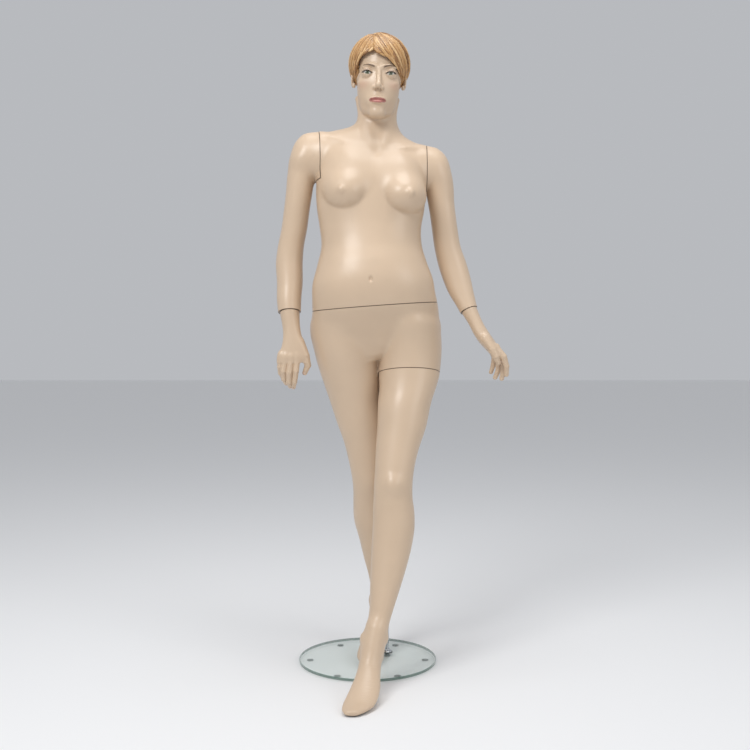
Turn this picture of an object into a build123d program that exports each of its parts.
from build123d import *
import os
from math import cos, radians, sin

os.makedirs("parts", exist_ok=True)

# Full body display figure on a round glass base. All lengths are in millimetres.
# The origin is the centre of the base's underside, +Z is up, the figure faces -Y,
# and +X is the figure's own left side.

# Base and support rod
glass_radius = 190
glass_thickness = 8
pad_height = 2
pad_radius = 9
pad_circle = 160
pad_count = 6
rod_radius = 5
rod_top = 400
rod_x, rod_y = 55, 44
rod_hole_radius = 6
gasket_radius, gasket_height = 15, 1.5
flange_radius, flange_height = 13, 5
flange_chamfer = 1.5
nut_radius, nut_height = 9, 5
bolt_head_radius = 9.5
bolt_shank_radius = 3.5
sleeve_clearance = 0.1
edge_chamfer = 1

# Moulded shells and cast hands
digit_taper = 0.97
wall = 5
seam_gap = 0.6
board_thickness = 10

# Calf socket
socket_radius = 8
socket_bottom = 290
socket_length = 116
socket_bore = 5.2
grub_radius = 3
grub_length = 11
grub_height = 40
grub_clearance = 0.15
hex_key_radius, hex_key_depth = 1.7, 3
calf_opening = 90

# Fittings at the seams: plate radius, plate thickness, peg radius, peg length
running_gap = 0.08
plate_thickness = 3
waist_fitting = (42, 14, 26)
shoulder_fitting = (27, 8, 22)
wrist_fitting = (13, 4.5, 16)
thigh_fitting = (38, 12, 26)
screw_head_height = 1.5
screw_head_ratio = 1.9
screw_length = 9
screw_circle = 0.72
screw_count = 3
peg_chamfer = 1.5
board_hole_clearance = 1
waist_ovals = (160, 113), (162, 115)
right_shoulder_ovals = (56, 41), (48, 41)
left_shoulder_ovals = (50, 40), (45, 40)
left_thigh_ovals = (69, 67), (67, 64)
right_wrist_ovals = (22, 22), None
left_wrist_ovals = (17.5, 17.5), None

glass_bottom = pad_height
glass_top = pad_height + glass_thickness
bolt_bottom = 0.4
grub_place = Plane(origin=(rod_x + rod_radius + grub_clearance, rod_y,
                           socket_bottom + grub_height), z_dir=(1, 0, 0))
hairline = Plane(origin=(31, -90, 1690), z_dir=(0, 0.66, 1))
bust_centres = [(-52, -60, 1294), (92, -60, 1280)]
bust_radii = (58, 72, 54)
right_heel_centre, right_heel_radii = (37, 93, 104), (27, 25, 32)
left_heel_centre, left_heel_radii = (19, -232, 88), (28, 26, 31)
right_armpit, left_armpit = 68, 62
clear_above, clear_width, clear_depth = 130, 240, 90

# Seam planes. Each normal points out of the piece that carries the joint's fixed half.
waist_tilt = radians(4.2)
waist_seam = Plane(origin=(20, -14, 983), x_dir=(cos(waist_tilt), 0, sin(waist_tilt)),
                   z_dir=(-sin(waist_tilt), 0, cos(waist_tilt)))
chest_turn = radians(8)
right_shoulder_seam = Plane(origin=(-136, 20, 1394), x_dir=(0, 0, 1),
                            z_dir=(-cos(chest_turn), -sin(chest_turn), 0))
left_shoulder_seam = Plane(origin=(162, 20, 1360), x_dir=(0, 0, 1), z_dir=(1, 0, 0))
right_wrist_seam = Plane(origin=(-214.5, -13, 969), x_dir=(-1, 0, 0), z_dir=(0.05, -0.3, -0.95))
left_wrist_seam = Plane(origin=(279, -11, 974), x_dir=(0.9, 0, 0.4), z_dir=(0.38, -0.28, -0.88))
thigh_seam = Plane(origin=(114, -24, 803), x_dir=(1, 0, 0), z_dir=(0, -0.2, -0.98))


def level(x, y, z, half_width, half_depth, roll=0):
    """A horizontal section, tilted by roll degrees so that its +X side rises."""
    turn = radians(roll)
    plane = Plane(origin=(x, y, z), x_dir=(cos(turn), 0, sin(turn)),
                  z_dir=(-sin(turn), 0, cos(turn)))
    return plane, half_width, half_depth


def bent(side, x, y, z, fall, half_outer, half_depth):
    """A section of an arm. side is -1 or 1, and fall is 0 level and 90 straight down."""
    turn = radians(fall)
    plane = Plane(origin=(x, y, z), x_dir=(side * sin(turn), 0, cos(turn)),
                  z_dir=(side * cos(turn), 0, -sin(turn)))
    return plane, half_outer, half_depth


def along(x, y, z, direction, half_width, half_height):
    """A section of a foot, square to the given direction of its length."""
    plane = Plane(origin=(x, y, z), x_dir=(1, 0, 0), z_dir=direction)
    return plane, half_width, half_height


torso_sections = [
    level(18, -8, 955, 174, 125, 4),
    level(20, -16, 983, 171, 124, 4),
    level(14, -29, 1050, 164, 121, 3),
    level(12, -28, 1100, 148, 112, 2),
    level(11, -20, 1150, 136, 104, 1),
    level(8, -10, 1200, 139, 102, 0),
    level(8, -2, 1250, 147, 106, -2),
    level(9, 5, 1300, 150, 108, -4),
    level(11, 13, 1350, 146, 103, -6),
    level(12, 18, 1395, 132, 88, -8),
    level(14, 22, 1430, 112, 71, -8),
    level(20, 25, 1458, 84, 60, -7),
    level(24, 26, 1482, 60, 54, -5),
    level(27, 23, 1512, 50, 53, -3),
    level(28, 18, 1545, 48, 54, -3),
    level(29, 12, 1575, 46, 52, -3),
]
right_stub_sections = [
    bent(-1, -70, 20, 1398, 0, 60, 62),
    bent(-1, -105, 20, 1396, 0, 64, 55),
    bent(-1, -146, 20, 1393, 0, 65, 50),
]
left_stub_sections = [
    bent(1, 95, 20, 1370, 0, 58, 62),
    bent(1, 130, 20, 1364, 0, 60, 55),
    bent(1, 171, 20, 1358, 0, 59, 50),
]
head_sections = [
    level(33, -46, 1507, 26, 36, -3),
    level(32, -30, 1530, 48, 56, -3),
    level(31, -10, 1562, 62, 80, -3),
    level(31, 6, 1605, 71, 96, -3),
    level(31, 13, 1650, 75, 100, -3),
    level(30, 16, 1690, 68, 88, -3),
    level(30, 17, 1713, 49, 64, -3),
    level(30, 18, 1724, 24, 32, -3),
]
hair_sections = [
    level(31, 14, 1540, 62, 86, -3),
    level(31, 8, 1605, 80, 104, -3),
    level(31, 10, 1650, 88, 113, -3),
    level(30, 12, 1690, 83, 104, -3),
    level(30, 14, 1718, 64, 80, -3),
    level(31, 15, 1732, 38, 48, -3),
    level(32, 15, 1737, 14, 18, -3),
]
pelvis_sections = [
    level(30, 27, 836, 150, 88, 1),
    level(28, 26, 862, 175, 116, 2),
    level(25, 15, 900, 180, 123, 3),
    level(23, -1, 942, 176, 124, 4),
    level(20, -16, 983, 171, 124, 4),
    level(16, -23, 1010, 168, 123, 4),
]
right_leg_sections = [
    level(-60, 20, 905, 82, 98),
    level(-58, 22, 862, 84, 104),
    level(-56, 24, 820, 82, 98),
    level(-44, 27, 776, 79, 91),
    level(-30, 30, 720, 72, 80),
    level(-14, 28, 665, 72, 74),
    level(0, 25, 609, 66, 67),
    level(8, 20, 554, 59, 63),
    level(12, 19, 498, 53, 58),
    level(14, 30, 443, 54, 57),
    level(17, 45, 387, 54, 57),
    level(25, 57, 332, 49, 51),
    level(29, 67, 276, 41, 42),
    level(34, 76, 221, 33, 35),
    level(36, 83, 178, 29, 32),
    level(37, 86, 148, 28, 35),
]
left_thigh_sections = [
    level(118, 8, 905, 78, 100),
    level(118, 0, 862, 84, 100),
    level(115, -16, 820, 84, 91),
    level(113, -30, 790, 81, 84),
    level(109, -43, 762, 77, 79),
    level(102, -58, 732, 73, 74),
    level(91, -84, 655, 64, 66),
    level(79, -103, 599, 56, 60),
    level(72, -118, 550, 51, 57),
    level(68, -130, 500, 51, 55),
    level(69, -138, 449, 54, 56),
    level(69, -147, 398, 55, 57),
    level(63, -160, 347, 52, 52),
    level(55, -178, 298, 48, 47),
    level(46, -195, 250, 43, 42),
    level(37, -214, 202, 37, 37),
    level(25, -232, 156, 32, 34),
    level(15, -243, 124, 30, 36),
]
right_foot_sections = [
    level(37, 86, 156, 26, 33),
    along(30, 73, 113, (-0.25, -0.5, -0.83), 27, 40),
    along(19, 45, 75, (-0.3, -0.75, -0.6), 25, 28),
    along(10, 5, 43, (-0.2, -0.87, -0.42), 30, 21),
    along(5, -35, 26, (-0.1, -0.97, -0.2), 34, 14.5),
    along(2, -62, 21, (-0.1, -0.99, 0), 27, 9.5),
    along(0, -80, 19, (-0.1, -0.99, 0), 15, 7),
]
left_foot_sections = [
    level(15, -241, 132, 28, 34),
    along(11, -258, 94, (-0.2, -0.55, -0.8), 32, 42),
    along(4, -298, 63, (-0.2, -0.8, -0.55), 34, 29),
    along(-4, -342, 38, (-0.22, -0.88, -0.4), 40, 22),
    along(-18, -385, 17, (-0.25, -0.95, -0.15), 40, 15),
    along(-29, -415, 11, (-0.25, -0.97, 0), 31, 10.5),
    along(-35, -434, 8.5, (-0.25, -0.97, 0), 17, 7.5),
]
right_arm_sections = [
    bent(-1, -124, 20, 1394, 0, 66, 50),
    bent(-1, -150, 20, 1391, 10, 62, 50),
    bent(-1, -174, 20, 1380, 42, 53, 49),
    bent(-1, -184, 20, 1345, 75, 40, 44),
    bent(-1, -187, 20, 1310, 86, 36, 41),
    bent(-1, -194, 20, 1264, 82, 35, 39),
    bent(-1, -204, 22, 1198, 80, 35, 37),
    bent(-1, -213, 25, 1154, 84, 35, 37),
    bent(-1, -217, 24, 1110, 88, 36, 38),
    bent(-1, -216, 10, 1043, 91, 34, 36),
    bent(-1, -216, -4, 999, 90, 32, 33),
    bent(-1, -214, -16, 955, 88, 30, 30),
]
left_arm_sections = [
    bent(1, 150, 20, 1360, 0, 60, 49),
    bent(1, 193, 20, 1343, 42, 50, 48),
    bent(1, 202, 20, 1306, 75, 39, 43),
    bent(1, 205, 20, 1275, 84, 36, 40),
    bent(1, 209, 20, 1240, 82, 35, 38),
    bent(1, 215, 22, 1198, 80, 35, 37),
    bent(1, 223, 25, 1150, 76, 35, 37),
    bent(1, 234, 25, 1108, 73, 38, 38),
    bent(1, 246, 17, 1065, 70, 38, 36),
    bent(1, 259, 4, 1021, 68, 33, 32),
    bent(1, 272, -6, 990, 67, 28, 28),
    bent(1, 286, -16, 956, 67, 24, 24),
]
right_palm_sections = [
    bent(-1, -214, -8, 984, 88, 29, 28),
    bent(-1, -209, -22, 933, 87, 25, 22),
    bent(-1, -206, -28, 911, 87, 24, 19),
    bent(-1, -202, -33, 886, 88, 30, 17),
    bent(-1, -200, -37, 862, 90, 35, 15),
    bent(-1, -205, -41, 838, 92, 35, 12),
]
left_palm_sections = [
    bent(1, 273, -8, 988, 67, 26, 26),
    bent(1, 299, -25, 933, 66, 19, 23),
    bent(1, 311, -30, 911, 60, 20, 26),
    bent(1, 328, -34, 885, 54, 20, 33),
    bent(1, 346, -37, 860, 53, 15, 35),
]
# Each digit is a list of centre points from knuckle to tip, then the radii there.
right_digits = [
    ([(-181, -30, 869), (-165, -34, 842), (-162, -30, 817), (-173, -26, 801)], [13, 11, 9, 7]),
    ([(-191, -40, 850), (-196, -45, 800), (-203, -20, 763)], [10, 9, 7]),
    ([(-207, -42, 846), (-215, -46, 800), (-211, -18, 768)], [10, 9, 7]),
    ([(-222, -41, 848), (-230, -43, 804), (-222, -14, 774)], [10, 8.5, 6.5]),
    ([(-234, -38, 852), (-239, -37, 814), (-234, -12, 790)], [9, 8, 6]),
]
left_digits = [
    ([(320, -58, 893), (336, -68, 864), (345, -70, 846), (352, -66, 830)], [13, 10, 9, 7]),
    ([(349, -60, 868), (374, -62, 838), (377, -50, 797)], [10, 9, 7]),
    ([(348, -44, 866), (372, -42, 832), (366, -38, 786)], [10, 9, 7]),
    ([(343, -27, 866), (362, -22, 826), (350, -22, 788)], [10, 8.5, 6.5]),
    ([(338, -12, 870), (350, -6, 836), (340, -8, 802)], [9, 8, 6]),
]


def limb(sections, taken_off=0.0):
    """A smooth loft through elliptical sections, each radius less taken_off."""
    with BuildPart() as solid:
        for plane, half_width, half_depth in sections:
            with BuildSketch(plane):
                Ellipse(half_width - taken_off, half_depth - taken_off)
        loft()
    return solid.part


def ellipsoid(centre, radii):
    """A sphere stretched to three radii about its centre."""
    with BuildPart() as solid:
        Sphere(1)
        scale(by=radii)
    return solid.part.moved(Location(centre))


def digit(points, radii):
    """A finger or thumb: balls at the joints with tapered lengths between them."""
    with BuildPart() as solid:
        for point, radius in zip(points, radii):
            with Locations(point):
                Sphere(radius)
        for start, end, start_radius, end_radius in zip(points, points[1:], radii, radii[1:]):
            reach = Vector(end) - Vector(start)
            with Locations(Plane(origin=start, z_dir=reach)):
                Cone(digit_taper * start_radius, digit_taper * end_radius, reach.length,
                     align=(Align.CENTER, Align.CENTER, Align.MIN))
    return solid.part


def screw_set(plate_plane, plate_radius, screw_radius):
    """Three countersunk screws, their heads flush with the plate's face."""
    with BuildPart() as screws:
        with Locations(plate_plane):
            with PolarLocations(screw_circle * plate_radius, screw_count):
                Cylinder(screw_radius, screw_length, align=(Align.CENTER, Align.CENTER, Align.MAX))
                Cone(screw_radius, screw_head_ratio * screw_radius, screw_head_height,
                     align=(Align.CENTER, Align.CENTER, Align.MAX))
    return screws.part


def closing_board(face_plane, half_width, half_depth, plate_radius, hole_radius, screws):
    """An oval board whose face lies on face_plane, with a recess for the fitting plate."""
    with BuildPart() as board:
        with BuildSketch(face_plane):
            Ellipse(half_width, half_depth)
        extrude(amount=-board_thickness)
        with BuildSketch(face_plane):
            Circle(plate_radius)
        extrude(amount=-plate_thickness, mode=Mode.SUBTRACT)
        if hole_radius:
            with BuildSketch(face_plane):
                Circle(hole_radius)
            extrude(amount=-board_thickness, mode=Mode.SUBTRACT)
        add(screws, mode=Mode.SUBTRACT)
    return board


def seam_fitting(name, seam, fitting, screw_radius, socket_oval, peg_oval):
    """The pair of plates at a seam. The seam's normal points from socket to peg.

    The socket plate and its board close one piece, the peg plate and its board the other.
    socket_oval and peg_oval are the boards' half sizes; peg_oval is None for a solid piece.
    """
    plate_radius, peg_radius, peg_length = fitting
    socket_face = seam.offset(-seam_gap / 2)
    peg_face = Plane(origin=seam.offset(seam_gap / 2).origin, x_dir=seam.x_dir,
                     z_dir=-seam.z_dir)
    socket_screws = screw_set(socket_face, plate_radius, screw_radius)
    peg_screws = screw_set(peg_face, plate_radius, screw_radius)

    with BuildPart() as socket_plate:
        with BuildSketch(socket_face):
            Circle(plate_radius)
            Circle(peg_radius + running_gap, mode=Mode.SUBTRACT)
        extrude(amount=-plate_thickness)
        add(socket_screws, mode=Mode.SUBTRACT)
    save(socket_plate, name + "_socket_plate")

    with BuildPart() as peg_plate:
        with BuildSketch(peg_face):
            Circle(plate_radius)
        extrude(amount=-plate_thickness)
        with BuildSketch(peg_face):
            Circle(peg_radius)
        extrude(amount=peg_length)
        chamfer(peg_plate.faces().sort_by(Axis(peg_face.origin, peg_face.z_dir))[-1].edges(),
                length=peg_chamfer)
        add(peg_screws, mode=Mode.SUBTRACT)
    save(peg_plate, name + "_peg_plate")

    for side, screw_group in (("_socket", socket_screws), ("_peg", peg_screws)):
        with BuildPart() as screws:
            add(screw_group)
        save(screws, name + side + "_screws")

    socket_board = closing_board(socket_face, *socket_oval, plate_radius, peg_radius + board_hole_clearance,
                                 socket_screws)
    save(socket_board, name + "_socket_board")
    if peg_oval is not None:
        peg_board = closing_board(peg_face, *peg_oval, plate_radius, 0, peg_screws)
        save(peg_board, name + "_peg_board")
    with BuildPart() as peg_recess:
        with BuildSketch(peg_face):
            Circle(plate_radius)
        extrude(amount=-plate_thickness)
        add(peg_screws)
    return peg_recess.part


def save(builder, name):
    builder.part.label = name
    export_step(builder.part, "parts/" + name + ".step")


# ---- Base ----
with BuildPart() as glass_base:
    with BuildSketch(Plane.XY.offset(glass_bottom)):
        Circle(glass_radius)
        with Locations((rod_x, rod_y)):
            Circle(rod_hole_radius, mode=Mode.SUBTRACT)
    extrude(amount=glass_thickness)
    rims = glass_base.edges().filter_by(GeomType.CIRCLE).sort_by(SortBy.RADIUS)[-2:]
    chamfer(rims, length=edge_chamfer)
save(glass_base, "glass_base")

with BuildPart() as anti_slip_pads:
    with BuildSketch():
        Circle(pad_radius)
        with PolarLocations(pad_circle, pad_count):
            Circle(pad_radius)
    extrude(amount=pad_height)
save(anti_slip_pads, "anti_slip_pads")

rod_foot = Plane(origin=(rod_x, rod_y, 0))
with BuildPart() as rod_gasket:
    with BuildSketch(rod_foot.offset(glass_top)):
        Circle(gasket_radius)
        Circle(rod_hole_radius, mode=Mode.SUBTRACT)
    extrude(amount=gasket_height)
save(rod_gasket, "rod_gasket")

flange_bottom = glass_top + gasket_height
with BuildPart() as rod_flange:
    with BuildSketch(rod_foot.offset(flange_bottom)):
        Circle(flange_radius)
        Circle(rod_radius, mode=Mode.SUBTRACT)
    extrude(amount=flange_height)
    chamfer(rod_flange.edges().group_by(Axis.Z)[-1].sort_by(SortBy.RADIUS)[-1],
            length=flange_chamfer)
save(rod_flange, "rod_flange")

with BuildPart() as rod_nut:
    with BuildSketch(rod_foot.offset(flange_bottom + flange_height)):
        RegularPolygon(radius=nut_radius, side_count=6)
        Circle(rod_radius, mode=Mode.SUBTRACT)
    extrude(amount=nut_height)
save(rod_nut, "rod_nut")

with BuildPart() as support_rod:
    with BuildSketch(rod_foot.offset(flange_bottom)):
        Circle(rod_radius)
    extrude(amount=rod_top - flange_bottom)
    chamfer(support_rod.faces().sort_by(Axis.Z)[-1].edges(), length=edge_chamfer)
save(support_rod, "support_rod")

# The bolt comes up through the glass into the rod's foot; its head is below the glass.
with BuildPart() as base_bolt:
    with BuildSketch(rod_foot.offset(bolt_bottom)):
        Circle(bolt_head_radius)
    extrude(amount=glass_bottom - bolt_bottom)
    with BuildSketch(rod_foot.offset(glass_bottom)):
        Circle(bolt_shank_radius)
    extrude(amount=flange_bottom - glass_bottom)
save(base_bolt, "base_bolt")

with BuildPart() as bolt_sleeve:
    with BuildSketch(rod_foot.offset(glass_bottom)):
        Circle(rod_hole_radius - sleeve_clearance)
        Circle(bolt_shank_radius, mode=Mode.SUBTRACT)
    extrude(amount=glass_thickness)
save(bolt_sleeve, "bolt_sleeve")


# ---- Lower body: pelvis, right leg and the stump of the left thigh in one moulding ----
waist_lower_cut = waist_seam.offset(-seam_gap / 2)
waist_upper_cut = waist_seam.offset(seam_gap / 2)
thigh_upper_cut = thigh_seam.offset(-seam_gap / 2)
thigh_lower_cut = thigh_seam.offset(seam_gap / 2)
stump_sections = left_thigh_sections[:6]
left_leg_sections = left_thigh_sections[1:]

with BuildPart() as lower_body_hollow:
    add(limb(pelvis_sections, wall))
    add(limb(right_leg_sections[1:-1], wall))
    add(limb(stump_sections[1:], wall))

with BuildPart() as lower_body_shell:
    add(limb(stump_sections))
    split(bisect_by=thigh_upper_cut, keep=Keep.BOTTOM)
    add(limb(pelvis_sections))
    add(limb(right_leg_sections))
    add(limb(right_foot_sections))
    add(ellipsoid(right_heel_centre, right_heel_radii))
    add(lower_body_hollow.part, mode=Mode.SUBTRACT)
    split(bisect_by=waist_lower_cut, keep=Keep.BOTTOM)
    with BuildSketch(rod_foot.offset(socket_bottom - calf_opening)):
        Circle(socket_radius)
    extrude(amount=socket_length + calf_opening, mode=Mode.SUBTRACT)
    with BuildSketch(grub_place):
        Circle(grub_radius + seam_gap / 2)
    extrude(amount=2 * grub_length, mode=Mode.SUBTRACT)
save(lower_body_shell, "lower_body_shell")


# ---- Steel socket in the right calf, which drops over the support rod ----
with BuildPart() as calf_socket:
    with BuildSketch(rod_foot.offset(socket_bottom)):
        Circle(socket_radius)
    extrude(amount=socket_length)
    with BuildSketch(rod_foot.offset(socket_bottom)):
        Circle(socket_bore)
    extrude(amount=rod_top - socket_bottom, mode=Mode.SUBTRACT)
    with BuildSketch(grub_place):
        Circle(grub_radius)
    extrude(amount=grub_length, mode=Mode.SUBTRACT)
save(calf_socket, "calf_socket")

with BuildPart() as socket_grub_screw:
    with BuildSketch(grub_place):
        Circle(grub_radius)
    extrude(amount=grub_length)
    with BuildSketch(grub_place.offset(grub_length)):
        RegularPolygon(radius=hex_key_radius, side_count=6)
    extrude(amount=-hex_key_depth, mode=Mode.SUBTRACT)
save(socket_grub_screw, "socket_grub_screw")


# ---- Upper body: torso, neck and head in one moulding ----
def shoulder_clearance(seam, below):
    """The space beyond a shoulder seam, where the arm goes, from below its centre upwards."""
    with BuildPart() as space:
        with BuildSketch(seam.offset(-seam_gap / 2)):
            with Locations((-below, 0)):
                Rectangle(below + clear_above, clear_width, align=(Align.MIN, Align.CENTER))
        extrude(amount=clear_depth)
    return space.part


with BuildPart() as upper_body_shell:
    add(limb(torso_sections))
    add(limb(right_stub_sections))
    add(limb(left_stub_sections))
    add(limb(head_sections))
    for centre in bust_centres:
        add(ellipsoid(centre, bust_radii))
    add(limb(torso_sections, wall), mode=Mode.SUBTRACT)
    add(limb(right_stub_sections, wall), mode=Mode.SUBTRACT)
    add(limb(left_stub_sections, wall), mode=Mode.SUBTRACT)
    add(limb(head_sections, wall), mode=Mode.SUBTRACT)
    add(shoulder_clearance(right_shoulder_seam, right_armpit), mode=Mode.SUBTRACT)
    add(shoulder_clearance(left_shoulder_seam, left_armpit), mode=Mode.SUBTRACT)
    split(bisect_by=waist_upper_cut, keep=Keep.TOP)
save(upper_body_shell, "upper_body_shell")

with BuildPart() as moulded_hair:
    add(limb(hair_sections))
    add(limb(head_sections, -seam_gap / 2), mode=Mode.SUBTRACT)
    split(bisect_by=hairline, keep=Keep.TOP)
save(moulded_hair, "moulded_hair")


# ---- Arms ----
arms = [
    ("right", right_arm_sections, right_shoulder_seam, right_wrist_seam),
    ("left", left_arm_sections, left_shoulder_seam, left_wrist_seam),
]
for side, sections, shoulder_seam, wrist_seam in arms:
    with BuildPart() as arm_shell:
        add(limb(sections))
        add(limb(sections, wall), mode=Mode.SUBTRACT)
        split(bisect_by=shoulder_seam.offset(seam_gap / 2), keep=Keep.TOP)
        split(bisect_by=wrist_seam.offset(-seam_gap / 2), keep=Keep.BOTTOM)
    save(arm_shell, side + "_arm_shell")


# ---- Left leg, from the thigh seam down ----
with BuildPart() as left_leg_shell:
    add(limb(left_leg_sections))
    add(limb(left_foot_sections))
    add(ellipsoid(left_heel_centre, left_heel_radii))
    add(limb(left_leg_sections, wall), mode=Mode.SUBTRACT)
    split(bisect_by=thigh_lower_cut, keep=Keep.TOP)
save(left_leg_shell, "left_leg_shell")


# ---- Fittings at the seams ----
waist_seam_down = Plane(origin=waist_seam.origin, x_dir=waist_seam.x_dir,
                        z_dir=-waist_seam.z_dir)
seam_fitting("waist", waist_seam_down, waist_fitting, 2.5, *waist_ovals)
seam_fitting("right_shoulder", right_shoulder_seam, shoulder_fitting, 2, *right_shoulder_ovals)
seam_fitting("left_shoulder", left_shoulder_seam, shoulder_fitting, 2, *left_shoulder_ovals)
seam_fitting("left_thigh", thigh_seam, thigh_fitting, 2.5, *left_thigh_ovals)
right_recess = seam_fitting("right_wrist", right_wrist_seam, wrist_fitting, 1.2,
                            *right_wrist_ovals)
left_recess = seam_fitting("left_wrist", left_wrist_seam, wrist_fitting, 1.2,
                           *left_wrist_ovals)


# ---- Hands, solid castings that include the wrist ----
hands = [
    ("right_hand", right_palm_sections, right_digits, right_wrist_seam, right_recess),
    ("left_hand", left_palm_sections, left_digits, left_wrist_seam, left_recess),
]
for name, sections, digits, wrist_seam, recess in hands:
    with BuildPart() as hand:
        add(limb(sections))
        for points, radii in digits:
            add(digit(points, radii))
        split(bisect_by=wrist_seam.offset(seam_gap / 2), keep=Keep.TOP)
        add(recess, mode=Mode.SUBTRACT)
    save(hand, name)
